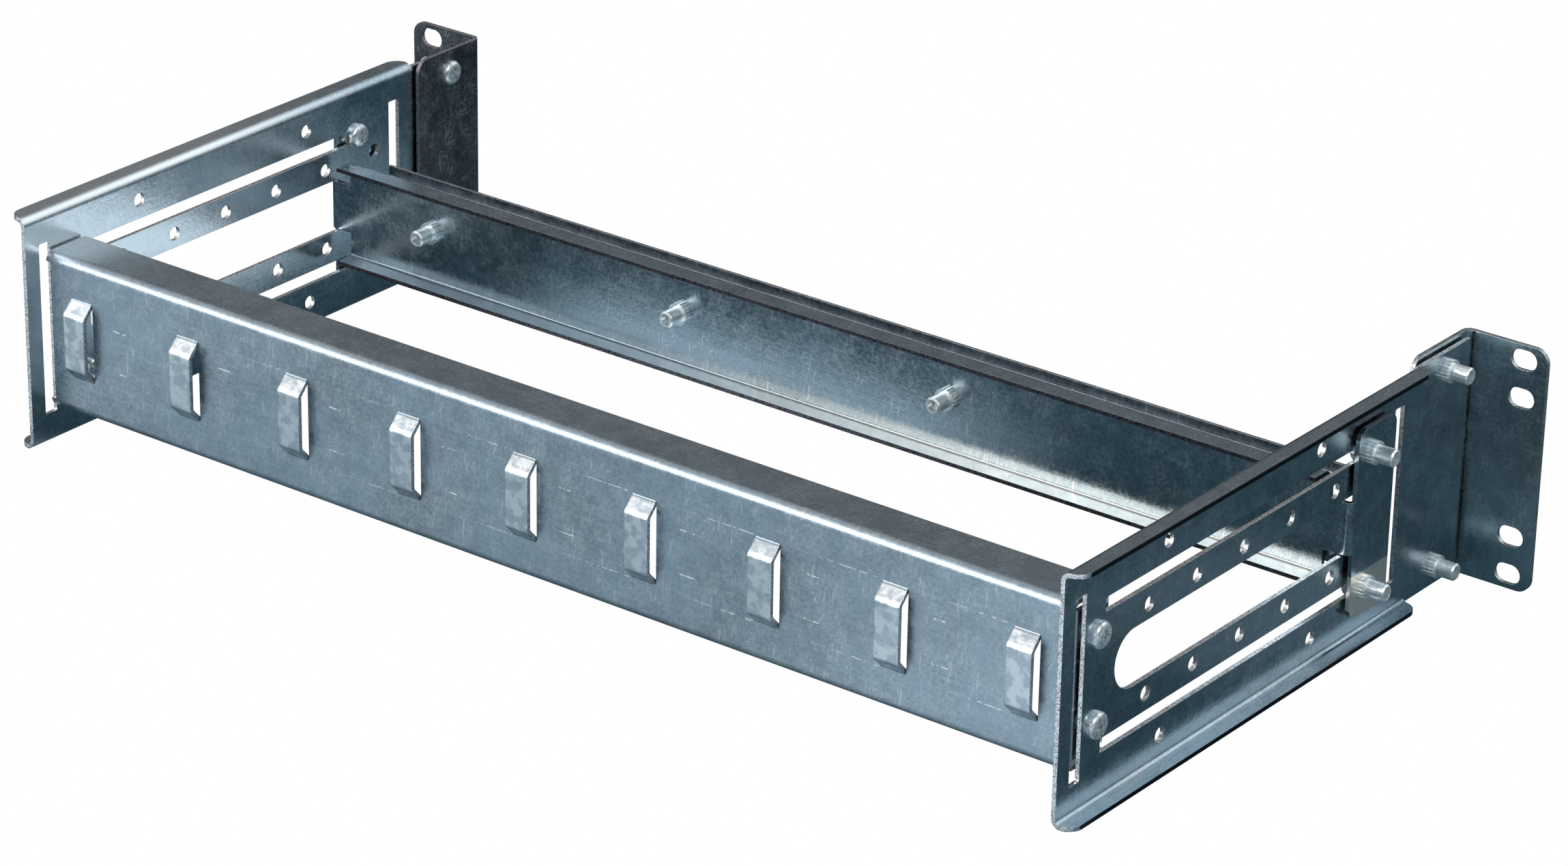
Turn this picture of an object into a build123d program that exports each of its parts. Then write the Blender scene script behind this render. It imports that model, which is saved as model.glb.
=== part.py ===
from build123d import *
import os

# Rack-mount DIN rail panel: a two-unit, 19 inch frame of zinc-plated sheet steel.
# X runs along the rails, +Y towards the rack ears, +Z up. The origin is in the middle
# between the ears, on the face that bears on the rack's posts. Sizes that end in _Y are
# measured from the cable edge, where the side plates begin.

# Sheet and bends
SHEET = 1.5
BEND_INNER = 1.8
TIGHT_BEND_INNER = 0.8

# Rack standard and ears
RACK_WIDTH = 482.6
EAR_SLOT_INSET = 8.75
EAR_REACH = 27.4
EAR_HEIGHT = 86.6
EAR_SLOT_EDGE = 5.2
EAR_SLOT_INNER = 49.3
EAR_SLOT_LENGTH = 9.6
EAR_SLOT_HEIGHT = 7.0
EAR_CORNER = 5.0
EAR_OFFSET = 2.6
LEG_LENGTH = 33.2
LEG_CORNER = 5.0

# Side plates
PLATE_DEPTH = 228.6
PLATE_LOWER = 1.4
LIP_OUT = 6.35
LIP_INSET = 31.6
LIP_CORNER = 5.5
TAIL_LOWER = 2.0

# Openings in the side plates; an inset is measured from the plate's rear edge
EDGE_SLOT_WIDTH = 5.45
EDGE_SLOT_MARGIN = 11.2
FRONT_SLOT_Y = 9.1
REAR_SLOT_INSET = 41.8
EDGE_SLOT_CORNER = 0.6
LONG_SLOT_START = 22.3
LONG_SLOT_INSET = 56.6
LONG_SLOT_HEIGHT = 4.8
LONG_SLOT_Z = 23.6
WINDOW_START = 28.4
WINDOW_INSET = 52.6
WINDOW_HEIGHT = 19.8
ROW_HOLE = 5.0
INNER_ROW_Z = 15.1
INNER_ROW_START = 45.9
INNER_ROW_INSET = 52.7
INNER_ROW_COUNT = 6
OUTER_ROW_Z = 32.9
OUTER_ROW_START = 55.1
OUTER_ROW_INSET = 88.4

# Front rail with its cable bridges
FRONT_Y = 8.6
FRONT_HEIGHT = 57.0
FRONT_FLANGE = 18.7
FRONT_RELIEF = 0.3
FRONT_SCREW_Y = 19.2
FRONT_SCREW_Z = INNER_ROW_Z
BRIDGE_COUNT = 9
BRIDGE_MARGIN = 18.5
BRIDGE_WIDTH = 9.3
BRIDGE_FOOT = 28.4
BRIDGE_TOP = 19.4
BRIDGE_RISE = 4.3
BRIDGE_CROWN_BEND = 2.5
BRIDGE_FOOT_BEND = 1.2
BRIDGE_SIDE_GAP = 0.3
BRIDGE_ROOT = 1.5

# Rear rail with its T-shaped ends
REAR_WEB_INSET = 72.0
REAR_FLANGE = 8.7
REAR_HEIGHT = 37.4
REAR_Z = -0.9
REAR_END_GAP = 7.2
TONGUE_HEIGHT = 18.4
TONGUE_Z = -0.4
END_PLATE_HEIGHT = 66.0
END_PLATE_WIDTH = 22.0
END_PLATE_CORNER = 4.0
END_SCREW_BACK = 10.4

# Top-hat rail on the far side of the rear rail
HAT_WIDTH = 35.0
HAT_DEPTH = 7.5
HAT_CROWN = 27.0
HAT_SHEET = 1.0
HAT_BEND_INNER = 0.8
HAT_LEFT_GAP = 18.0
HAT_RIGHT_GAP = 6.8
STUD_MARGIN = 43.8
STUD_COUNT = 4
STUD_SHIFT = 2.1
STUD_Z = 0.8

# M4 rivet nuts, set blind in the sheet
NUT_BODY = 6.0
NUT_FLANGE = 9.0
NUT_FLANGE_THICK = 1.0
NUT_COLLAR = 8.0
NUT_COLLAR_LENGTH = 2.2
NUT_COLLAR_TEETH = 18
NUT_TOOTH_DEPTH = 0.35
NUT_BLIND_LENGTH = 8.8
NUT_BORE = 4.0
NUT_CHAMFER = 0.5
BODY_CLEARANCE = 0.2

# M4 pan head screws
SCREW_DIAMETER = 3.9
SCREW_LENGTH = 9.0
SCREW_HEAD = 9.0
SCREW_HEAD_HEIGHT = 2.6
HEAD_RIM_SHARE = 0.3
HEAD_DOME_SHARE = 0.95
SCREW_HOLE = 4.5
RECESS_LENGTH = 4.6
RECESS_WIDTH = 0.9
RECESS_DEPTH = 1.5
SCREW_EAR_INSET = 13.4
SCREW_EAR_MARGIN = 8.5

# Sizes that follow from those above
EAR_SLOT_SPAN = RACK_WIDTH - 2 * EAR_SLOT_INSET
EAR_SLOT_OUTER = EAR_HEIGHT - 2 * EAR_SLOT_EDGE
BODY_WIDTH = RACK_WIDTH - 2 * EAR_REACH
PLATE_HEIGHT = EAR_HEIGHT - PLATE_LOWER
TAIL_HEIGHT = PLATE_HEIGHT - TAIL_LOWER
LIP_LENGTH = PLATE_DEPTH - LIP_INSET
EDGE_SLOT_HEIGHT = PLATE_HEIGHT - 2 * EDGE_SLOT_MARGIN
REAR_SLOT_Y = PLATE_DEPTH - REAR_SLOT_INSET
LONG_SLOT_END = PLATE_DEPTH - LONG_SLOT_INSET
WINDOW_END = PLATE_DEPTH - WINDOW_INSET
INNER_ROW_PITCH = (PLATE_DEPTH - INNER_ROW_INSET - INNER_ROW_START) / (INNER_ROW_COUNT - 1)
OUTER_ROW_PITCH = PLATE_DEPTH - OUTER_ROW_INSET - OUTER_ROW_START
BRIDGE_PITCH = (BODY_WIDTH - 2 * BRIDGE_MARGIN) / (BRIDGE_COUNT - 1)
REAR_WEB_Y = PLATE_DEPTH - REAR_WEB_INSET
REAR_LENGTH = BODY_WIDTH - 2 * REAR_END_GAP
END_SCREW_Y = REAR_WEB_Y + END_SCREW_BACK
HAT_LENGTH = BODY_WIDTH - HAT_LEFT_GAP - HAT_RIGHT_GAP
HAT_SHIFT = (HAT_LEFT_GAP - HAT_RIGHT_GAP) / 2
STUD_PITCH = (BODY_WIDTH - 2 * STUD_MARGIN) / (STUD_COUNT - 1)
SCREW_EAR_Y = PLATE_DEPTH - SCREW_EAR_INSET
SCREW_EAR_Z = EAR_HEIGHT / 2 - SCREW_EAR_MARGIN

# Faces that the pieces meet on
PLATE_OUT = BODY_WIDTH / 2
PLATE_IN = PLATE_OUT - SHEET
INSIDE_SEAT = PLATE_IN - NUT_FLANGE_THICK
OUTSIDE_SEAT = PLATE_OUT + NUT_FLANGE_THICK
BEND_MID = BEND_INNER + SHEET / 2
BEND_OUTER = BEND_INNER + SHEET
EAR_FACE_Y = PLATE_DEPTH + EAR_OFFSET
REAR_BACK_Y = REAR_WEB_Y + SHEET
HAT_BASE_Y = REAR_BACK_Y + NUT_FLANGE_THICK
FRONT_MID_Y = FRONT_Y + SHEET / 2
FRONT_BACK_Y = FRONT_Y + FRONT_FLANGE
STUD_X = [STUD_SHIFT + STUD_PITCH * (i - (STUD_COUNT - 1) / 2) for i in range(STUD_COUNT)]
NUT_HOLE = NUT_BODY + BODY_CLEARANCE

CABLE_EDGE = -EAR_FACE_Y

os.makedirs("parts", exist_ok=True)


def side_on(x, y=0.0):
    """Plane across the rails at x: its own X runs towards the ears, its own Y up."""
    return Plane(origin=(x, CABLE_EDGE + y, 0), x_dir=(0, 1, 0), z_dir=(1, 0, 0))


def end_on(y):
    """Plane along the rails at a distance from the cable edge, looking at that edge."""
    return Plane(origin=(0, CABLE_EDGE + y, 0), x_dir=(1, 0, 0), z_dir=(0, -1, 0))


def level(z):
    """Flat plane at z: its own Y starts at the cable edge."""
    return Plane(origin=(0, CABLE_EDGE, z))


# Right side plate: web, two lips turned outward, tail towards the ear
web_x = PLATE_OUT - SHEET / 2
lip_x = PLATE_OUT + LIP_OUT
lip_z = PLATE_HEIGHT / 2 - SHEET / 2
with BuildPart() as right_side_plate:
    with BuildSketch(end_on(0)):
        with BuildLine():
            FilletPolyline((lip_x, lip_z), (web_x, lip_z), (web_x, -lip_z), (lip_x, -lip_z), radius=BEND_MID)
        trace(line_width=SHEET)
    extrude(amount=-LIP_LENGTH)
    with BuildSketch(side_on(PLATE_IN, (LIP_LENGTH + PLATE_DEPTH) / 2)):
        Rectangle(PLATE_DEPTH - LIP_LENGTH, TAIL_HEIGHT)
    extrude(amount=SHEET)
    with BuildSketch(level(-PLATE_HEIGHT)):
        with Locations((lip_x - LIP_CORNER / 2, LIP_CORNER / 2)):
            Rectangle(LIP_CORNER, LIP_CORNER)
        with Locations((lip_x - LIP_CORNER / 2, LIP_LENGTH - LIP_CORNER / 2)):
            Rectangle(LIP_CORNER, LIP_CORNER)
        with Locations((lip_x - LIP_CORNER, LIP_CORNER), (lip_x - LIP_CORNER, LIP_LENGTH - LIP_CORNER)):
            Circle(LIP_CORNER, mode=Mode.SUBTRACT)
    extrude(amount=2 * PLATE_HEIGHT, mode=Mode.SUBTRACT)
    with BuildSketch(side_on(PLATE_IN)):
        with Locations((FRONT_SLOT_Y, 0), (REAR_SLOT_Y, 0)):
            RectangleRounded(EDGE_SLOT_WIDTH, EDGE_SLOT_HEIGHT, EDGE_SLOT_CORNER)
        slot_length = LONG_SLOT_END - LONG_SLOT_START
        with Locations((LONG_SLOT_START + slot_length / 2, 0)):
            with GridLocations(0, 2 * LONG_SLOT_Z, 1, 2):
                RectangleRounded(slot_length, LONG_SLOT_HEIGHT, EDGE_SLOT_CORNER)
        window_length = WINDOW_END - WINDOW_START
        with Locations((WINDOW_START + window_length / 2, 0)):
            SlotOverall(window_length, WINDOW_HEIGHT)
        inner_row_middle = INNER_ROW_START + INNER_ROW_PITCH * (INNER_ROW_COUNT - 1) / 2
        with Locations((inner_row_middle, 0)):
            with GridLocations(INNER_ROW_PITCH, 2 * INNER_ROW_Z, INNER_ROW_COUNT, 2):
                Circle(ROW_HOLE / 2)
        with Locations((OUTER_ROW_START + OUTER_ROW_PITCH / 2, 0)):
            with GridLocations(OUTER_ROW_PITCH, 2 * OUTER_ROW_Z, 2, 2):
                Circle(ROW_HOLE / 2)
        with Locations((FRONT_SCREW_Y, FRONT_SCREW_Z), (FRONT_SCREW_Y, -FRONT_SCREW_Z)):
            Circle(SCREW_HOLE / 2)
        with Locations((SCREW_EAR_Y, SCREW_EAR_Z), (SCREW_EAR_Y, -SCREW_EAR_Z)):
            Circle(NUT_HOLE / 2)
    extrude(amount=SHEET, mode=Mode.SUBTRACT)
right_side_plate.part.label = "right_side_plate"
export_step(right_side_plate.part, "parts/right_side_plate.step")

with BuildPart() as left_side_plate:
    mirror(right_side_plate.part, about=Plane.YZ)
left_side_plate.part.label = "left_side_plate"
export_step(left_side_plate.part, "parts/left_side_plate.step")

# Right ear bracket: a leg inside the side plate and the slotted ear behind its rear edge
leg_x = INSIDE_SEAT - SHEET / 2
ear_y = EAR_FACE_Y + SHEET / 2
leg_front = EAR_FACE_Y - LEG_LENGTH
with BuildPart() as right_ear_bracket:
    with BuildSketch(level(-EAR_HEIGHT / 2)):
        with BuildLine():
            FilletPolyline((leg_x, leg_front), (leg_x, ear_y), (RACK_WIDTH / 2, ear_y), radius=BEND_MID)
        trace(line_width=SHEET)
    extrude(amount=EAR_HEIGHT)
    fillet(right_ear_bracket.edges().filter_by(Axis.Y).group_by(Axis.X)[-1], EAR_CORNER)
    fillet(right_ear_bracket.edges().filter_by(Axis.X).group_by(Axis.Y)[0], LEG_CORNER)
    with BuildSketch(end_on(EAR_FACE_Y)):
        with Locations((EAR_SLOT_SPAN / 2, 0)):
            with GridLocations(0, EAR_SLOT_OUTER, 1, 2):
                SlotOverall(EAR_SLOT_LENGTH, EAR_SLOT_HEIGHT)
            with GridLocations(0, EAR_SLOT_INNER, 1, 2):
                SlotOverall(EAR_SLOT_LENGTH, EAR_SLOT_HEIGHT)
    extrude(amount=-SHEET, mode=Mode.SUBTRACT)
    with BuildSketch(side_on(INSIDE_SEAT - SHEET, SCREW_EAR_Y)):
        with GridLocations(0, 2 * SCREW_EAR_Z, 1, 2):
            Circle(SCREW_HOLE / 2)
    extrude(amount=SHEET, mode=Mode.SUBTRACT)
right_ear_bracket.part.label = "right_ear_bracket"
export_step(right_ear_bracket.part, "parts/right_ear_bracket.step")

with BuildPart() as left_ear_bracket:
    mirror(right_ear_bracket.part, about=Plane.YZ)
left_ear_bracket.part.label = "left_ear_bracket"
export_step(left_ear_bracket.part, "parts/left_ear_bracket.step")

# Front rail: a channel open to the rear, with end flanges and lanced cable bridges
front_z = FRONT_HEIGHT / 2 - SHEET / 2
end_flange_z = FRONT_HEIGHT / 2 - BEND_OUTER
bridge_mid_y = FRONT_Y - BRIDGE_RISE + SHEET / 2
with BuildPart() as front_rail:
    with BuildSketch(side_on(0)):
        with BuildLine():
            FilletPolyline(
                (FRONT_BACK_Y, front_z),
                (FRONT_MID_Y, front_z),
                (FRONT_MID_Y, -front_z),
                (FRONT_BACK_Y, -front_z),
                radius=BEND_MID,
            )
        trace(line_width=SHEET)
    extrude(amount=INSIDE_SEAT, both=True)
    # The web stops short at each end, where the end flange is turned back from it
    with BuildSketch(end_on(FRONT_Y)):
        with GridLocations(2 * INSIDE_SEAT - BEND_OUTER, 0, 2, 1):
            Rectangle(BEND_OUTER, 2 * end_flange_z)
    extrude(amount=-SHEET, mode=Mode.SUBTRACT)
    with BuildSketch(level(FRONT_RELIEF - end_flange_z)):
        with BuildLine():
            FilletPolyline(
                (INSIDE_SEAT - BEND_OUTER - SHEET, FRONT_MID_Y),
                (INSIDE_SEAT - SHEET / 2, FRONT_MID_Y),
                (INSIDE_SEAT - SHEET / 2, FRONT_BACK_Y),
                radius=BEND_MID,
            )
        trace(line_width=SHEET)
        mirror(about=Plane.YZ)
    extrude(amount=2 * (end_flange_z - FRONT_RELIEF))
    with BuildSketch(side_on(0, FRONT_SCREW_Y)):
        with GridLocations(0, 2 * FRONT_SCREW_Z, 1, 2):
            Circle(NUT_HOLE / 2)
    extrude(amount=PLATE_OUT, both=True, mode=Mode.SUBTRACT)
    # Each bridge is a strap pushed out of the web between two shear cuts
    with BuildSketch(end_on(FRONT_Y)):
        with GridLocations(BRIDGE_PITCH, 0, BRIDGE_COUNT, 1):
            Rectangle(BRIDGE_WIDTH + 2 * BRIDGE_SIDE_GAP, BRIDGE_FOOT)
    extrude(amount=-SHEET, mode=Mode.SUBTRACT)
    for index in range(BRIDGE_COUNT):
        bridge_x = BRIDGE_PITCH * (index - (BRIDGE_COUNT - 1) / 2)
        with BuildSketch(side_on(bridge_x - BRIDGE_WIDTH / 2)):
            with BuildLine():
                FilletPolyline(
                    (FRONT_MID_Y, BRIDGE_FOOT / 2 + BRIDGE_ROOT),
                    (FRONT_MID_Y, BRIDGE_FOOT / 2),
                    (bridge_mid_y, BRIDGE_TOP / 2),
                    (bridge_mid_y, -BRIDGE_TOP / 2),
                    (FRONT_MID_Y, -BRIDGE_FOOT / 2),
                    (FRONT_MID_Y, -BRIDGE_FOOT / 2 - BRIDGE_ROOT),
                    radius=(BRIDGE_FOOT_BEND, BRIDGE_CROWN_BEND, BRIDGE_CROWN_BEND, BRIDGE_FOOT_BEND),
                )
            trace(line_width=SHEET)
        extrude(amount=BRIDGE_WIDTH)
front_rail.part.label = "front_rail"
export_step(front_rail.part, "parts/front_rail.step")

# Rear rail: a channel open to the front; a tongue at each end leaves through the window
# of the side plate and turns back into a tall end plate on its outer face
rear_mid_y = REAR_WEB_Y + SHEET / 2
flange_front_y = REAR_BACK_Y - REAR_FLANGE
rear_z = REAR_HEIGHT / 2 - SHEET / 2
end_mid_x = OUTSIDE_SEAT + SHEET / 2
end_front_y = REAR_WEB_Y + TIGHT_BEND_INNER + SHEET
with BuildPart() as rear_rail:
    with BuildSketch(side_on(-REAR_LENGTH / 2)):
        with BuildLine():
            FilletPolyline(
                (flange_front_y, REAR_Z + rear_z),
                (rear_mid_y, REAR_Z + rear_z),
                (rear_mid_y, REAR_Z - rear_z),
                (flange_front_y, REAR_Z - rear_z),
                radius=TIGHT_BEND_INNER + SHEET / 2,
            )
        trace(line_width=SHEET)
    extrude(amount=REAR_LENGTH)
    with BuildSketch(level(TONGUE_Z - TONGUE_HEIGHT / 2)):
        with BuildLine():
            FilletPolyline(
                (REAR_LENGTH / 2 - SHEET, rear_mid_y),
                (end_mid_x, rear_mid_y),
                (end_mid_x, end_front_y + SHEET),
                radius=TIGHT_BEND_INNER + SHEET / 2,
            )
        trace(line_width=SHEET)
        mirror(about=Plane.YZ)
    extrude(amount=TONGUE_HEIGHT)
    with BuildSketch(side_on(OUTSIDE_SEAT, end_front_y + END_PLATE_WIDTH / 2)):
        RectangleRounded(END_PLATE_WIDTH, END_PLATE_HEIGHT, END_PLATE_CORNER)
    extrude(amount=SHEET)
    with BuildSketch(side_on(-OUTSIDE_SEAT, end_front_y + END_PLATE_WIDTH / 2)):
        RectangleRounded(END_PLATE_WIDTH, END_PLATE_HEIGHT, END_PLATE_CORNER)
    extrude(amount=-SHEET)
    with BuildSketch(side_on(0, END_SCREW_Y)):
        with GridLocations(0, 2 * LONG_SLOT_Z, 1, 2):
            Circle(NUT_HOLE / 2)
    extrude(amount=end_mid_x + SHEET, both=True, mode=Mode.SUBTRACT)
    with BuildSketch(end_on(REAR_WEB_Y)):
        with Locations(*[(x, STUD_Z) for x in STUD_X]):
            Circle(NUT_HOLE / 2)
    extrude(amount=-SHEET, mode=Mode.SUBTRACT)
rear_rail.part.label = "rear_rail"
export_step(rear_rail.part, "parts/rear_rail.step")

# Top-hat rail, 35 by 7.5, with its crown against the rear rail's rivet nuts
hat_base_mid = HAT_BASE_Y + HAT_SHEET / 2
hat_brim_mid = HAT_BASE_Y + HAT_DEPTH - HAT_SHEET / 2
crown_z = HAT_CROWN / 2 - HAT_SHEET / 2
with BuildPart() as din_rail:
    with BuildSketch(side_on(HAT_SHIFT - HAT_LENGTH / 2)):
        with BuildLine():
            FilletPolyline(
                (hat_brim_mid, REAR_Z + HAT_WIDTH / 2),
                (hat_brim_mid, REAR_Z + crown_z),
                (hat_base_mid, REAR_Z + crown_z),
                (hat_base_mid, REAR_Z - crown_z),
                (hat_brim_mid, REAR_Z - crown_z),
                (hat_brim_mid, REAR_Z - HAT_WIDTH / 2),
                radius=HAT_BEND_INNER + HAT_SHEET / 2,
            )
        trace(line_width=HAT_SHEET)
    extrude(amount=HAT_LENGTH)
    with BuildSketch(end_on(HAT_BASE_Y)):
        with Locations(*[(x, STUD_Z) for x in STUD_X]):
            Circle(SCREW_HOLE / 2)
    extrude(amount=-HAT_SHEET, mode=Mode.SUBTRACT)
din_rail.part.label = "din_rail"
export_step(din_rail.part, "parts/din_rail.step")

# Rivet nut: thin flange below the sheet, body through it, toothed collar and shank beyond
nut_top = SHEET + NUT_BLIND_LENGTH
collar_top = SHEET + NUT_COLLAR_LENGTH
with BuildPart() as rivet_nut:
    Cylinder(NUT_FLANGE / 2, NUT_FLANGE_THICK, align=(Align.CENTER, Align.CENTER, Align.MAX))
    Cylinder(NUT_BODY / 2, nut_top, align=(Align.CENTER, Align.CENTER, Align.MIN))
    chamfer(rivet_nut.faces().sort_by(Axis.Z)[-1].edges(), NUT_CHAMFER)
    with BuildSketch(Plane.XY.offset(SHEET)):
        Circle(NUT_COLLAR / 2)
        with PolarLocations(NUT_COLLAR / 2, NUT_COLLAR_TEETH):
            RegularPolygon(NUT_TOOTH_DEPTH, 4, mode=Mode.SUBTRACT)
    extrude(amount=NUT_COLLAR_LENGTH)
    Hole(NUT_BORE / 2)

# Pan head screw: domed head above its seat, plain shank below, cross recess
with BuildPart() as pan_screw:
    with BuildSketch(Plane.XZ):
        with BuildLine():
            Polyline((0, SCREW_HEAD_HEIGHT), (0, -SCREW_LENGTH), (SCREW_DIAMETER / 2, -SCREW_LENGTH))
            Polyline((SCREW_DIAMETER / 2, -SCREW_LENGTH), (SCREW_DIAMETER / 2, 0), (SCREW_HEAD / 2, 0))
            Line((SCREW_HEAD / 2, 0), (SCREW_HEAD / 2, SCREW_HEAD_HEIGHT * HEAD_RIM_SHARE))
            Bezier(
                (SCREW_HEAD / 2, SCREW_HEAD_HEIGHT * HEAD_RIM_SHARE),
                (SCREW_HEAD / 2, SCREW_HEAD_HEIGHT * HEAD_DOME_SHARE),
                (SCREW_HEAD / 4, SCREW_HEAD_HEIGHT),
                (0, SCREW_HEAD_HEIGHT),
            )
        make_face()
    revolve(axis=Axis.Z)
    with BuildSketch(Plane.XY.offset(SCREW_HEAD_HEIGHT - RECESS_DEPTH)):
        Rectangle(RECESS_LENGTH, RECESS_WIDTH)
        Rectangle(RECESS_WIDTH, RECESS_LENGTH)
    extrude(amount=2 * RECESS_DEPTH, mode=Mode.SUBTRACT)


def seat(x, y, z, direction):
    """Plane where a nut or a screw is seated, y from the cable edge, facing a direction."""
    return Plane(origin=(x, CABLE_EDGE + y, z), z_dir=direction)


nut_seats = {}
screw_seats = {}
for side, sign in (("left", -1), ("right", 1)):
    inward = (-sign, 0, 0)
    outward = (sign, 0, 0)
    for height, up in (("lower", -1), ("upper", 1)):
        front = (FRONT_SCREW_Y, up * FRONT_SCREW_Z)
        nut_seats[f"{side}_front_nut_{height}"] = seat(sign * INSIDE_SEAT, *front, inward)
        screw_seats[f"{side}_front_screw_{height}"] = seat(sign * PLATE_OUT, *front, outward)
        end = (END_SCREW_Y, up * LONG_SLOT_Z)
        nut_seats[f"{side}_end_nut_{height}"] = seat(sign * OUTSIDE_SEAT, *end, outward)
        screw_seats[f"{side}_end_screw_{height}"] = seat(sign * PLATE_IN, *end, inward)
        ear = (SCREW_EAR_Y, up * SCREW_EAR_Z)
        nut_seats[f"{side}_ear_nut_{height}"] = seat(sign * PLATE_IN, *ear, outward)
        screw_seats[f"{side}_ear_screw_{height}"] = seat(sign * (INSIDE_SEAT - SHEET), *ear, inward)
for index, x in enumerate(STUD_X, start=1):
    nut_seats[f"rail_nut_{index}"] = seat(x, REAR_BACK_Y, STUD_Z, (0, -1, 0))
    screw_seats[f"rail_screw_{index}"] = seat(x, HAT_BASE_Y + HAT_SHEET, STUD_Z, (0, 1, 0))

for label, plane in nut_seats.items():
    with BuildPart() as nut:
        add(rivet_nut.part.moved(plane.location))
    nut.part.label = label
    export_step(nut.part, f"parts/{label}.step")

for label, plane in screw_seats.items():
    with BuildPart() as screw:
        add(pan_screw.part.moved(plane.location))
    screw.part.label = label
    export_step(screw.part, f"parts/{label}.step")
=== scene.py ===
"""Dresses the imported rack-mount DIN rail panel: folded, zinc-plated sheet steel.

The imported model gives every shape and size. This script gives each piece its finish, then
adds the studio and the camera. Everything is in metres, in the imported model's own frame.
"""

import math

import bpy
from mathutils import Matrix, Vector


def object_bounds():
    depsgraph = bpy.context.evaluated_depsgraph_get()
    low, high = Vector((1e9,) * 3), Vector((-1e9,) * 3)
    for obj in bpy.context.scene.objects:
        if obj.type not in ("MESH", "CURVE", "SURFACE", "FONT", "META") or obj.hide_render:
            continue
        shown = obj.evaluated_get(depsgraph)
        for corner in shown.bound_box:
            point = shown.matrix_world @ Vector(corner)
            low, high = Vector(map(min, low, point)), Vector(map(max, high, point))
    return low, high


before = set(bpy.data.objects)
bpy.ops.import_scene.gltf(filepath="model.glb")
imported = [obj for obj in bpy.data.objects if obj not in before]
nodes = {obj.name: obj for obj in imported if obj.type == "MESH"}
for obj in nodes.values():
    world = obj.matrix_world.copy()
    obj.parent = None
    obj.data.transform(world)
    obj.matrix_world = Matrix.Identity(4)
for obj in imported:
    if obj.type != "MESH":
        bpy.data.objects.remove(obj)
cad_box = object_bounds()

# Side plates: 1.5 mm steel, zinc-plated and blue passivated, with two lips folded outward.
# The slots and holes are punched, and their walls are left torn. The coating is mottled:
# crystals about a millimetre wide, blotches, stains as wide as a hand, and fine scratches.
MM = 0.001


def linear(text):
    """An sRGB hex colour as linear red, green, blue and alpha."""
    parts = [int(text[i : i + 2], 16) / 255 for i in (0, 2, 4)]
    return [p / 12.92 if p <= 0.04045 else ((p + 0.055) / 1.055) ** 2.4 for p in parts] + [1.0]


def put(tree, kind, inputs=None, output=0, **settings):
    """Adds a node, sets its properties and inputs, and returns the wanted output's socket."""
    node = tree.nodes.new("ShaderNode" + kind)
    for name, value in settings.items():
        setattr(node, name, value)
    for key, value in (inputs or {}).items():
        if isinstance(value, bpy.types.NodeSocket):
            tree.links.new(value, node.inputs[key])
        else:
            node.inputs[key].default_value = value
    return node.outputs[output] if node.outputs else node


def cut_faces(tree, place, rules):
    """1 on the sheet's cut faces and 0 on its rolled ones.

    A rule is a list of (quantity, sign, limit in mm or share of the normal) that all hold.
    The quantities are the distances from the origin's planes, the signed ones, and the
    normal's parts. A rule is the product of its steps, and the result is the largest rule.
    """
    parts = {}
    flat = put(tree, "VectorMath", {0: place}, operation="ABSOLUTE")
    turned = put(tree, "VectorMath", {0: put(tree, "TexCoord", output="Normal")}, operation="ABSOLUTE")
    for prefix, source in (("s", place), ("", flat), ("n", turned)):
        apart = put(tree, "SeparateXYZ", {0: source}).node.outputs
        for axis, socket in zip("xyz", apart):
            parts[prefix + axis] = socket
    total = 0.0
    for rule in rules:
        held = 1.0
        for quantity, sign, limit in rule:
            unit = 1.0 if quantity[0] == "n" else MM
            low, high = (limit - 0.02, limit + 0.02) if sign == ">" else (limit + 0.02, limit - 0.02)
            held = put(tree, "MapRange", {0: parts[quantity], 1: low * unit, 2: high * unit, 4: held})
        total = put(tree, "Math", {0: total, 1: held}, operation="MAXIMUM")
    return total


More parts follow.
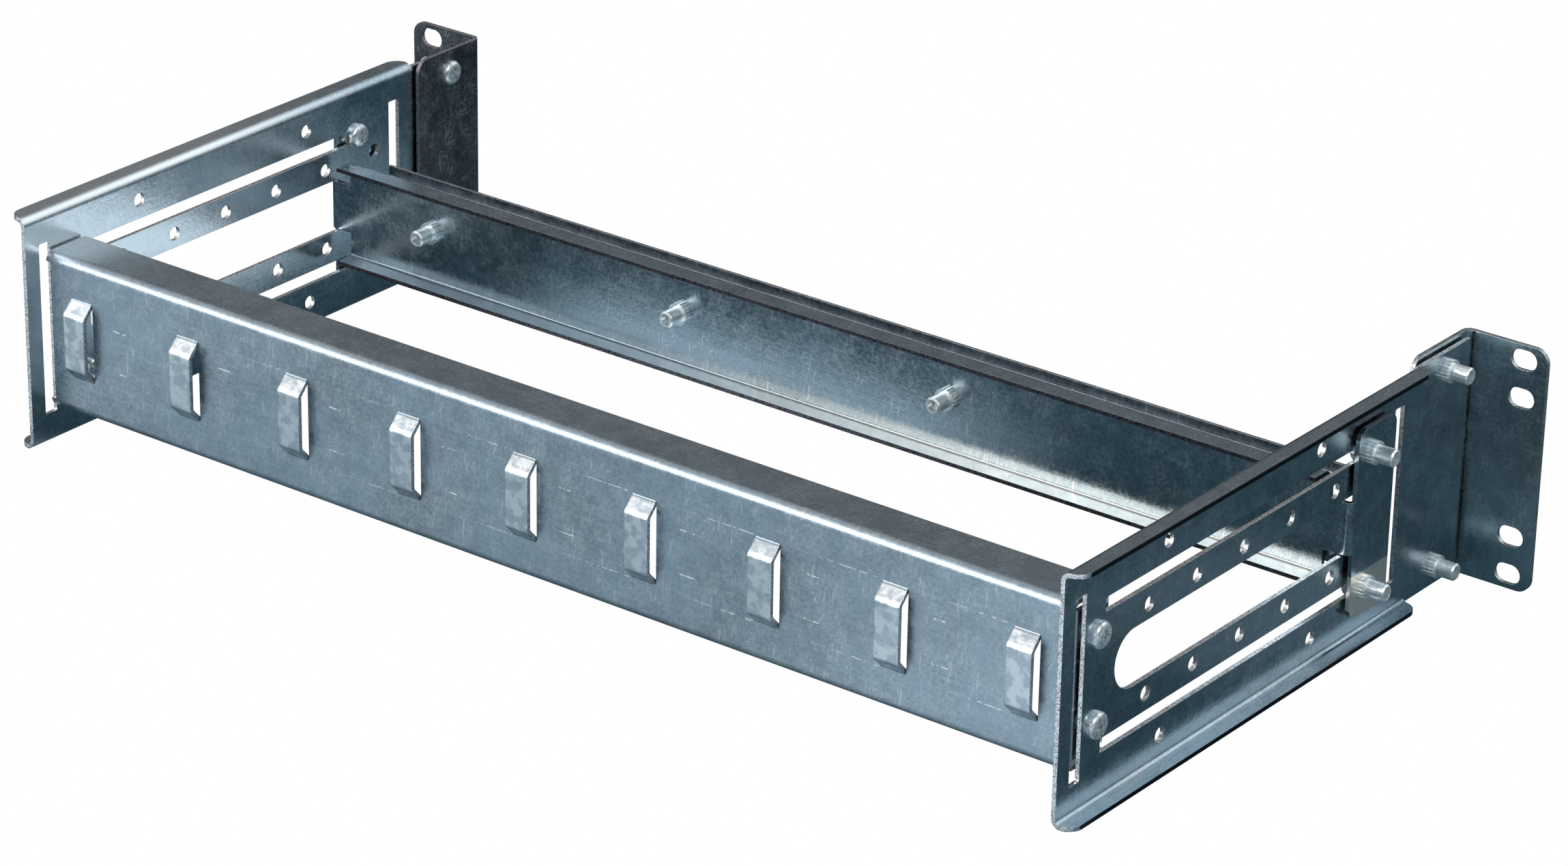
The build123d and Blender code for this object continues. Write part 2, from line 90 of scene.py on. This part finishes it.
def zinc_sheet(name, rules, shades, roughness, along, cut_wall_tones=("5C5658", "D4D8DA"), marks_and_painted_light=None):
    """Zinc-plated sheet steel, blue passivated: to the eye a cool grey mirror that is frosted
    by its crystals, stained in clouds, faintly drawn along the rolling and bright where cut.
    The shades are the coating's dark and light and the tint of its stains."""
    material = bpy.data.materials.new(name)
    material.use_nodes = True
    tree = material.node_tree
    shader = tree.nodes["Principled BSDF"]
    shader.inputs["Metallic"].default_value = 1.0
    place = put(tree, "TexCoord", output="Object")

    # Fine grain, crystals, blotches and stains, each by its width in mm
    field = {}
    widths = (("grain", 0.5, 1.0), ("crystals", 1.3, 2.0), ("blotches", 8, 3.0), ("stains", 45, 4.0))
    for key, width, detail in widths:
        inputs = {"Vector": place, "Scale": 1 / (width * MM), "Detail": detail, "Roughness": 0.6}
        noise = put(tree, "TexNoise", inputs)
        field[key] = put(tree, "MapRange", {0: noise, 1: 0.35, 2: 0.65}, interpolation_type="SMOOTHSTEP")

    # Rolling lines 0.5 mm wide and 60 mm long
    squeeze = [1 / (0.5 * MM)] * 3
    squeeze[along] = 1 / (60 * MM)
    drawn = put(tree, "Mapping", {"Vector": place, "Scale": squeeze})
    noise = put(tree, "TexNoise", {"Vector": drawn, "Scale": 1.0, "Detail": 2.0})
    field["lines"] = put(tree, "MapRange", {0: noise, 1: 0.35, 2: 0.65}, interpolation_type="SMOOTHSTEP")

    tone = 0.0
    weights = (("grain", 0.20), ("crystals", 0.26), ("blotches", 0.14), ("stains", 0.24), ("lines", 0.16))
    for key, weight in weights:
        tone = put(tree, "Math", {0: field[key], 1: weight, 2: tone}, operation="MULTIPLY_ADD")
    dark, light, tint = (linear(shade) for shade in shades)
    colour = put(tree, "Mix", {0: tone, 6: dark, 7: light}, 2, data_type="RGBA")
    share = put(tree, "MapRange", {0: field["stains"], 3: 0.0, 4: 0.4})
    colour = put(tree, "Mix", {0: share, 6: colour, 7: tint}, 2, data_type="RGBA")

    # White specks 0.5 mm wide, one to each 8 mm or so, and scratches 0.2 mm wide and 8 mm long,
    # which are wider than the real ones so that they show
    cells = put(tree, "TexVoronoi", {"Vector": place, "Scale": 1 / (8 * MM)})
    scored = put(tree, "MapRange", {0: cells, 1: 0.05, 2: 0.025, 4: 0.6}, interpolation_type="SMOOTHSTEP")
    for angle in (0.6, -0.9, 1.9):
        turned = put(tree, "Mapping", {"Vector": place, "Rotation": (angle, angle, angle)})
        thin = [1 / (8 * MM), 1 / (0.2 * MM), 1 / (1.5 * MM)]
        streaks = put(tree, "Mapping", {"Vector": turned, "Scale": thin})
        noise = put(tree, "TexNoise", {"Vector": streaks, "Scale": 1.0, "Detail": 0.0})
        streak = put(tree, "MapRange", {0: noise, 1: 0.70, 2: 0.78, 4: field["blotches"]})
        scored = put(tree, "Math", {0: scored, 1: streak}, operation="MAXIMUM")
    scored = put(tree, "Math", {0: scored, 1: 0.7}, operation="MULTIPLY")
    colour = put(tree, "Mix", {0: scored, 6: colour, 7: linear("E3E8EA")}, 2, data_type="RGBA")

    uneven = 0.06
    rough = roughness - uneven
    for key in ("blotches", "crystals"):
        rough = put(tree, "Math", {0: field[key], 1: uneven, 2: rough}, operation="MULTIPLY_ADD")
    height = put(tree, "Math", {0: field["lines"], 1: 0.3, 2: field["crystals"]}, operation="MULTIPLY_ADD")
    look = {"colour": colour, "rough": rough, "height": height, "worn": 0.25 * MM}
    # The piece's own marks, and on some pieces painted light
    if marks_and_painted_light:
        marks_and_painted_light(tree, place, look)

    # Cut walls: torn grain 0.6 mm wide, from shadow to bare steel
    cut = cut_faces(tree, place, rules)
    inputs = {"Vector": place, "Scale": 1 / (0.6 * MM), "Detail": 3.0, "Roughness": 0.7}
    grain = put(tree, "TexNoise", inputs)
    share = put(tree, "MapRange", {0: grain, 1: 0.36, 2: 0.56})
    bare = put(tree, "Mix", {0: share, 6: linear(cut_wall_tones[0]), 7: linear(cut_wall_tones[1])}, 2, data_type="RGBA")
    colour = put(tree, "Mix", {0: cut, 6: look["colour"], 7: bare}, 2, data_type="RGBA")
    rough = put(tree, "Math", {0: cut, 1: 0.12, 2: look["rough"]}, operation="MULTIPLY_ADD")
    depth = put(tree, "Math", {0: cut, 1: grain}, operation="MULTIPLY")
    height = put(tree, "Math", {0: depth, 1: 5.0, 2: look["height"]}, operation="MULTIPLY_ADD")

    tree.links.new(colour, shader.inputs["Base Color"])
    tree.links.new(rough, shader.inputs["Roughness"])
    worn = put(tree, "Bevel", {"Radius": look["worn"]}, samples=4)
    bump = put(tree, "Bump", {"Height": height, "Distance": 0.012 * MM, "Normal": worn})
    tree.links.new(bump, shader.inputs["Normal"])
    return material


def dress(name, material):
    """Puts one material on every slot of a node's object."""
    piece = nodes[name]
    if not piece.material_slots:
        piece.data.materials.append(None)
    for place in piece.material_slots:
        place.link = "OBJECT"
        place.material = material


LIP_REACH = max(abs(corner[0]) for corner in nodes["right_side_plate"].bound_box)
# The left plate's painted sheen: where it starts and where it is full along y, where it starts along z,
# and how strong it is
LEFT_PLATE_SHEEN = {"from_y": -55 * MM, "full_y": -150 * MM, "from_z": -30 * MM, "share": 0.75}


def plate_painted_light(tree, place, look):
    """Painted light on the plates. The left plate is painted paler, the more so to the front and to the
    top: a painted sheen for the room's light that it reflects. The lips' sheared outer edges are painted
    dark: a painted reflection of the dark they face."""
    x, y, z = put(tree, "SeparateXYZ", {0: place}).node.outputs
    left = put(tree, "MapRange", {0: x, 1: 0.0, 2: -10 * MM, 4: LEFT_PLATE_SHEEN["share"]})
    left = put(tree, "MapRange", {0: z, 1: LEFT_PLATE_SHEEN["from_z"], 2: 0.0, 4: left})
    inputs = {0: y, 1: LEFT_PLATE_SHEEN["from_y"], 2: LEFT_PLATE_SHEEN["full_y"], 4: left}
    painted_sheen_share = put(tree, "MapRange", inputs, interpolation_type="SMOOTHSTEP")
    colour = put(tree, "Mix", {0: painted_sheen_share, 6: look["colour"], 7: linear("EEF2F4")}, 2, data_type="RGBA")
    wide = put(tree, "Math", {0: x}, operation="ABSOLUTE")
    edge = put(tree, "MapRange", {0: wide, 1: LIP_REACH - 0.2 * MM, 2: LIP_REACH - 0.1 * MM})
    look["colour"] = put(tree, "Mix", {0: edge, 6: colour, 7: linear("2A2C30")}, 2, data_type="RGBA")


# Cut are the ends, the walls of slots and holes between the bends, and the tail's two edges
FACING = 0.6
LIP_BENDS = 40.0
LIPS_END = -34.0
plate_cuts = [
    [("ny", ">", FACING)],
    [("z", "<", LIP_BENDS), ("nx", "<", FACING)],
    [("sy", ">", LIPS_END), ("nx", "<", FACING)],
]
plate_shades = ("84929A", "C3CFD6", "96ACB9")
white_torn = ("85736C", "FFFFFF")
# The plates' finish carries painted light: a paler painted sheen on the left plate and painted dark lip
# edges
plate = zinc_sheet("passivated_plate_painted_light", plate_cuts, plate_shades, 0.23, 1, white_torn, plate_painted_light)
dress("left_side_plate", plate)
dress("right_side_plate", plate)

# Ear brackets: the same sheet, folded once. The left one shows the dull side of its coil, dark and
# coarsely speckled; the right one is painted lighter than its plate, painted light for the light its face
# catches from the room.
EAR_BEND_SIDE = 213.6
EAR_BEND_FRONT = -3.6
ear_cuts = [
    [("nz", ">", FACING)],
    [("x", ">", EAR_BEND_SIDE), ("ny", "<", FACING)],
    [("sy", "<", EAR_BEND_FRONT), ("nx", "<", FACING)],
]
dull = zinc_sheet("dull_ear", ear_cuts, ("363A3E", "868A90", "50555A"), 0.42, 2, ("6A666C", "A9A6AC"))
dress("left_ear_bracket", dull)
bright = zinc_sheet("passivated_ear_painted_light", ear_cuts, ("93A3AA", "CAD8DE", "A2BCC6"), 0.24, 2)
# The right ear's lighter colour is painted light
dress("right_ear_bracket", bright)

# Front rail: the cable bar, a channel with nine straps lanced out of its web. The straps are
# burnished and rounded by the forming die, which also left a pair of short dashes and two
# long lines between one strap and the next.
STRAP_PITCH = 48.85
FIRST_STRAP = -195.4
WEB_FRONT = -222.6
DASH = {"past": 17.3, "half_length": 3.0, "height": 7.7, "half_width": 0.22}
LINE = {"height": 14.9, "half_width": 0.16}


def rail_marks(tree, place, look):
    """Burnishes what stands proud of the web, and draws the die's dashes and lines on it."""
    in_mm = put(tree, "VectorMath", {0: place, 3: 1 / MM}, operation="SCALE")
    x, y, z = put(tree, "SeparateXYZ", {0: in_mm}).node.outputs
    high = put(tree, "Math", {0: z}, operation="ABSOLUTE")
    from_first = put(tree, "Math", {0: x, 1: FIRST_STRAP}, operation="SUBTRACT")
    past = put(tree, "Math", {0: from_first, 1: STRAP_PITCH}, operation="FLOORED_MODULO")
    ragged = put(tree, "TexNoise", {"Vector": place, "Scale": 1 / (1.5 * MM), "Detail": 2.0})
    bent = put(tree, "Math", {0: ragged, 1: 0.5, 2: high}, operation="MULTIPLY_ADD")
    broken = put(tree, "MapRange", {0: ragged, 1: 0.45, 2: 0.5})

    near = {0: bent, 1: DASH["height"] + 0.25, 2: DASH["half_width"]}
    dash = put(tree, "Math", near, operation="COMPARE")
    short = put(tree, "Math", {0: past, 1: DASH["past"], 2: DASH["half_length"]}, operation="COMPARE")
    dash = put(tree, "Math", {0: dash, 1: short}, operation="MULTIPLY")
    near = {0: bent, 1: LINE["height"] + 0.25, 2: LINE["half_width"]}
    line = put(tree, "Math", near, operation="COMPARE")
    for value, low, high_end in ((past, 10.0, 34.0), (past, 44.0, 43.0), (x, -240.0, 60.0)):
        line = put(tree, "MapRange", {0: value, 1: low, 2: high_end, 4: line})
    scored = put(tree, "Math", {0: dash, 1: line}, operation="MAXIMUM")
    scored = put(tree, "Math", {0: scored, 1: broken}, operation="MULTIPLY")
    colour = put(tree, "Mix", {0: scored, 6: look["colour"], 7: linear("F2F5F6")}, 2, data_type="RGBA")
    rough = put(tree, "Math", {0: scored, 1: 0.2, 2: look["rough"]}, operation="MULTIPLY_ADD")

    # Straps: bright on top, smudged on the face, waved 4 mm from crest to crest
    proud = put(tree, "MapRange", {0: y, 1: WEB_FRONT - 0.2, 2: WEB_FRONT - 0.6})
    waves = put(tree, "TexNoise", {"Vector": place, "Scale": 1 / (4 * MM), "Detail": 2.0})
    inputs = {0: waves, 1: 0.42, 2: 0.58, 3: 0.35, 4: 0.95}
    smudge = put(tree, "MapRange", inputs, interpolation_type="SMOOTHSTEP")
    smudge = put(tree, "Math", {0: smudge, 1: proud}, operation="MULTIPLY")
    look["colour"] = put(tree, "Mix", {0: smudge, 6: colour, 7: linear("E6EAEC")}, 2, data_type="RGBA")
    look["rough"] = put(tree, "Math", {0: proud, 1: -0.08, 2: rough}, operation="MULTIPLY_ADD")
    swell = put(tree, "Math", {0: proud, 1: waves}, operation="MULTIPLY")
    look["height"] = put(tree, "Math", {0: swell, 1: 14.0, 2: look["height"]}, operation="MULTIPLY_ADD")
    look["worn"] = put(tree, "MapRange", {0: proud, 3: 0.25 * MM, 4: 0.8 * MM})


# Cut are the flanges' ends, the straps' sides, the flanges' rear edges and the end flanges'
# upper and lower edges
FLANGES = 25.0
LAST_STRAP = 202.0
FLANGE_REAR = -204.2
END_BEND = 208.2
front_cuts = [
    [("nx", ">", FACING), ("z", ">", FLANGES)],
    [("nx", ">", FACING), ("x", "<", LAST_STRAP)],
    [("ny", ">", FACING), ("sy", ">", FLANGE_REAR)],
    [("nz", ">", FACING), ("x", ">", END_BEND), ("z", "<", FLANGES + 0.1)],
]
front_shades = ("8F9AA2", "C6D0D6", "9FB4C4")
front_rail = zinc_sheet("passivated_front_rail", front_cuts, front_shades, 0.31, 0, marks_and_painted_light=rail_marks)
dress("front_rail", front_rail)

# Rear rail: a shallow channel whose tongues leave through the plates' windows and turn back
# into tall end plates. The top-hat rail, 35 by 7.5 mm, is screwed to its far side.
# Cut are the channel's ends, its flanges' front edges, the end plates' edges and the tongues'
# upper and lower edges
CHANNEL_END = 207.0
FLANGE_FRONT = -81.6
END_PLATE = {"inner": 214.2, "front": -72.2}
TONGUE = 206.8
rear_cuts = [
    [("nx", ">", FACING), ("x", "<", CHANNEL_END)],
    [("ny", ">", FACING), ("sy", "<", FLANGE_FRONT)],
    [("x", ">", END_PLATE["inner"]), ("sy", ">", END_PLATE["front"]), ("nx", "<", FACING)],
    [("nz", ">", FACING), ("x", ">", TONGUE)],
]
# The rail's cut walls are painted near black: a painted reflection of the dark they face
painted_dark_cut = ("1C181E", "6A666E")
# The lower flange's top, and where its painted sheen starts and where it is full along x
FLANGE_TOP = -18.1 * MM
FLANGE_SHEEN_FROM = -110 * MM
FLANGE_SHEEN_FULL = 120 * MM


def flange_painted_sheen(tree, place, look):
    """The lower flange's coating is smooth and soft, and painted paler, the more so to the right: a
    painted reflection of the lit web above it. The mask takes all of the rail below the flange's top, so
    the end plates' lower halves are painted too.
    """
    x, _, z = put(tree, "SeparateXYZ", {0: place}).node.outputs
    low = put(tree, "MapRange", {0: z, 1: FLANGE_TOP + 0.6 * MM, 2: FLANGE_TOP + 0.1 * MM})
    right = put(tree, "MapRange", {0: x, 1: FLANGE_SHEEN_FROM, 2: FLANGE_SHEEN_FULL}, interpolation_type="SMOOTHSTEP")
    shade = put(tree, "Mix", {0: right, 6: linear("79848B"), 7: linear("FFF4E8")}, 2, data_type="RGBA")
    share = put(tree, "Math", {0: low, 1: 0.85}, operation="MULTIPLY")
    look["colour"] = put(tree, "Mix", {0: share, 6: look["colour"], 7: shade}, 2, data_type="RGBA")
    look["rough"] = put(tree, "Math", {0: low, 1: 0.10, 2: look["rough"]}, operation="MULTIPLY_ADD")


rear_shades = ("7B8990", "BDC9CF", "8FA6B4")
rear_rail = zinc_sheet("passivated_rear_rail_painted_light", rear_cuts, rear_shades, 0.24, 0, painted_dark_cut, flange_painted_sheen)
dress("rear_rail", rear_rail)
BRIM_EDGE = 16.4
hat_cuts = [
    [("nx", ">", FACING)],
    [("nz", ">", FACING), ("z", ">", BRIM_EDGE)],
]
hat_shades = ("7E858C", "B4BBC2", "8E969E")
hat = zinc_sheet("passivated_top_hat", hat_cuts, hat_shades, 0.30, 0, ("5A6062", "B8BCBE"))
dress("din_rail", hat)


# Rivet nuts and pan head screws: turned and cold-headed steel, bright zinc. They are smoother than the
# sheet and have a few dull spots; their fine tool rings are not drawn.
def bright_zinc(name, dark, light, roughness):
    """Bright zinc on turned steel: to the eye a light, slightly blue mirror."""
    material = bpy.data.materials.new(name)
    material.use_nodes = True
    tree = material.node_tree
    shader = tree.nodes["Principled BSDF"]
    shader.inputs["Metallic"].default_value = 0.75
    place = put(tree, "TexCoord", output="Object")
    dull = put(tree, "TexNoise", {"Vector": place, "Scale": 1 / (1.2 * MM), "Detail": 3.0})
    share = put(tree, "MapRange", {0: dull, 1: 0.35, 2: 0.65}, interpolation_type="SMOOTHSTEP")
    colour = put(tree, "Mix", {0: share, 6: linear(dark), 7: linear(light)}, 2, data_type="RGBA")
    tree.links.new(colour, shader.inputs["Base Color"])
    rough = put(tree, "MapRange", {0: dull, 1: 0.3, 2: 0.7, 3: roughness + 0.06, 4: roughness - 0.04})
    tree.links.new(rough, shader.inputs["Roughness"])
    worn = put(tree, "Bevel", {"Radius": 0.15 * MM}, samples=4)
    bump = put(tree, "Bump", {"Height": dull, "Distance": 0.01 * MM, "Normal": worn})
    tree.links.new(bump, shader.inputs["Normal"])
    return material


nut_zinc = bright_zinc("bright_zinc_nut", "DAE6E8", "FCFFFF", 0.20)
screw_zinc = bright_zinc("bright_zinc_screw", "B2BEC4", "F0F4F5", 0.18)
for name in nodes:
    if "_nut_" in name:
        dress(name, nut_zinc)
    elif "_screw_" in name:
        dress(name, screw_zinc)

# Studio: a plain white floor and room. The camera sees them white; in the metal they show as
# a set does, with a soft light over the whole room, four soft lamps, a dark flag behind,
# and a dark table with pale cards on it.
FLAG = (-0.56, 0.72, 0.40)
# Each lamp is where it stands as seen from the object, its sharpness and its light
LAMPS = (
    ((-0.56, -0.80, 0.22), 10.0, (2.70, 2.74, 2.76)),
    ((-0.38, -0.82, 0.43), 45.0, (3.00, 3.02, 3.02)),
    ((0.40, 0.72, 0.56), 10.0, (0.70, 0.78, 0.82)),
    ((0.79, -0.25, 0.56), 40.0, (6.00, 6.10, 6.20)),
)

world = bpy.data.worlds.new("studio")
bpy.context.scene.world = world
world.use_nodes = True
room = world.node_tree
room.nodes.clear()
toward = put(room, "TexCoord", output="Generated")
upward = put(room, "SeparateXYZ", {0: toward}).node.outputs[2]
inputs = {0: upward, 1: 0.0, 2: 0.30, 3: 0.08, 4: 0.62}
dome = put(room, "MapRange", inputs, interpolation_type="SMOOTHSTEP")
shine = put(room, "VectorMath", {0: (0.97, 1.0, 1.03), 3: dome}, operation="SCALE")
inputs = {0: toward, 1: Vector(FLAG).normalized()}
aimed = put(room, "VectorMath", inputs, "Value", operation="DOT_PRODUCT")
inputs = {0: aimed, 1: 0.72, 2: 0.97, 3: 1.0, 4: 0.34}
shadow = put(room, "MapRange", inputs, interpolation_type="SMOOTHSTEP")
for aim, sharpness, colour in LAMPS:
    inputs = {0: toward, 1: Vector(aim).normalized()}
    aimed = put(room, "VectorMath", inputs, "Value", operation="DOT_PRODUCT")
    facing = put(room, "Math", {0: aimed, 1: 0.0}, operation="MAXIMUM")
    weight = put(room, "Math", {0: facing, 1: sharpness}, operation="POWER")
    glow = put(room, "VectorMath", {0: colour, 3: weight}, operation="SCALE")
    shine = put(room, "VectorMath", {0: glow, 1: shine}, operation="ADD")
shine = put(room, "VectorMath", {0: shine, 3: shadow}, operation="SCALE")
seen = put(room, "LightPath", output="Is Camera Ray")
lit = put(room, "Background", {"Color": shine})
white = put(room, "Background", {"Color": (1.0, 1.0, 1.0, 1.0)})
put(room, "OutputWorld", {"Surface": put(room, "MixShader", {0: seen, 1: lit, 2: white})})

FLOOR_HALF = 4.0
floor_z = cad_box[0].z
corners = [(x * FLOOR_HALF, y * FLOOR_HALF, floor_z) for x, y in ((-1, -1), (1, -1), (1, 1), (-1, 1))]
floor_mesh = bpy.data.meshes.new("floor")
floor_mesh.from_pydata(corners, [], [(0, 1, 2, 3)])
floor = bpy.data.objects.new("floor", floor_mesh)
bpy.context.scene.collection.objects.link(floor)
paper = bpy.data.materials.new("white_paper")
paper.use_nodes = True
tree = paper.node_tree
tree.nodes.clear()
x, y, _ = put(tree, "SeparateXYZ", {0: put(tree, "TexCoord", output="Object")}).node.outputs
ahead = put(tree, "Math", {0: y, 1: -0.6}, operation="MULTIPLY")
ahead = put(tree, "Math", {0: x, 1: 0.8, 2: ahead}, operation="MULTIPLY_ADD")
# Each card is its strength and the soft steps at its edges. Three lie in front of the object,
# deeper to the right, one behind the bay, and the rest at the right.
cards = (
    (0.88, ((y, -0.210, -0.26),)),
    (1.12, ((y, -0.210, -0.26), (x, -0.10, -0.24))),
    (1.40, ((y, -0.210, -0.26), (x, -0.06, 0.14))),
    (2.00, ((y, -0.175, -0.125), (y, 0.080, -0.04), (x, -0.19, -0.12), (x, 0.08, -0.02))),
    (0.22, ((y, -0.135, -0.090), (y, 0.0, -0.04), (x, 0.215, 0.235), (x, 0.31, 0.28))),
    (0.50, ((ahead, 0.300, 0.400),)),
    (0.50, ((x, 0.36, 0.44),)),
)
bright = 0.0
for strength, steps in cards:
    card = strength
    for value, low, high in steps:
        card = put(tree, "MapRange", {0: value, 1: low, 2: high, 4: card}, interpolation_type="SMOOTHSTEP")
    bright = put(tree, "Math", {0: bright, 1: card}, operation="MAXIMUM")
TABLE = (0.045, 0.085, 0.108, 1.0)
CARD = (0.42, 0.52, 0.59, 1.0)
glow = put(tree, "Mix", {0: bright, 6: TABLE, 7: CARD}, 2, data_type="RGBA", clamp_factor=False)
seen = put(tree, "LightPath", output="Is Camera Ray")
shown = put(tree, "Mix", {0: seen, 6: glow, 7: (1.0, 1.0, 1.0, 1.0)}, 2, data_type="RGBA")
put(tree, "OutputMaterial", {"Surface": put(tree, "Emission", {"Color": shown})})
floor_mesh.materials.append(paper)

# Camera: a long lens at the photograph's viewpoint
FOCAL_PIXELS = 7857.5
PHOTO_WIDTH = 2298
SENSOR_WIDTH = 36.0
optics = bpy.data.cameras.new("camera")
optics.sensor_width = SENSOR_WIDTH
optics.lens = SENSOR_WIDTH * FOCAL_PIXELS / PHOTO_WIDTH
camera = bpy.data.objects.new("camera", optics)
camera.location = (1.00089, -1.40540, 0.72150)
camera.rotation_euler = [math.radians(a) for a in (65.7329, -0.9817, 37.6401)]
bpy.context.scene.collection.objects.link(camera)
bpy.context.scene.camera = camera
bpy.context.scene.view_settings.view_transform = "Standard"
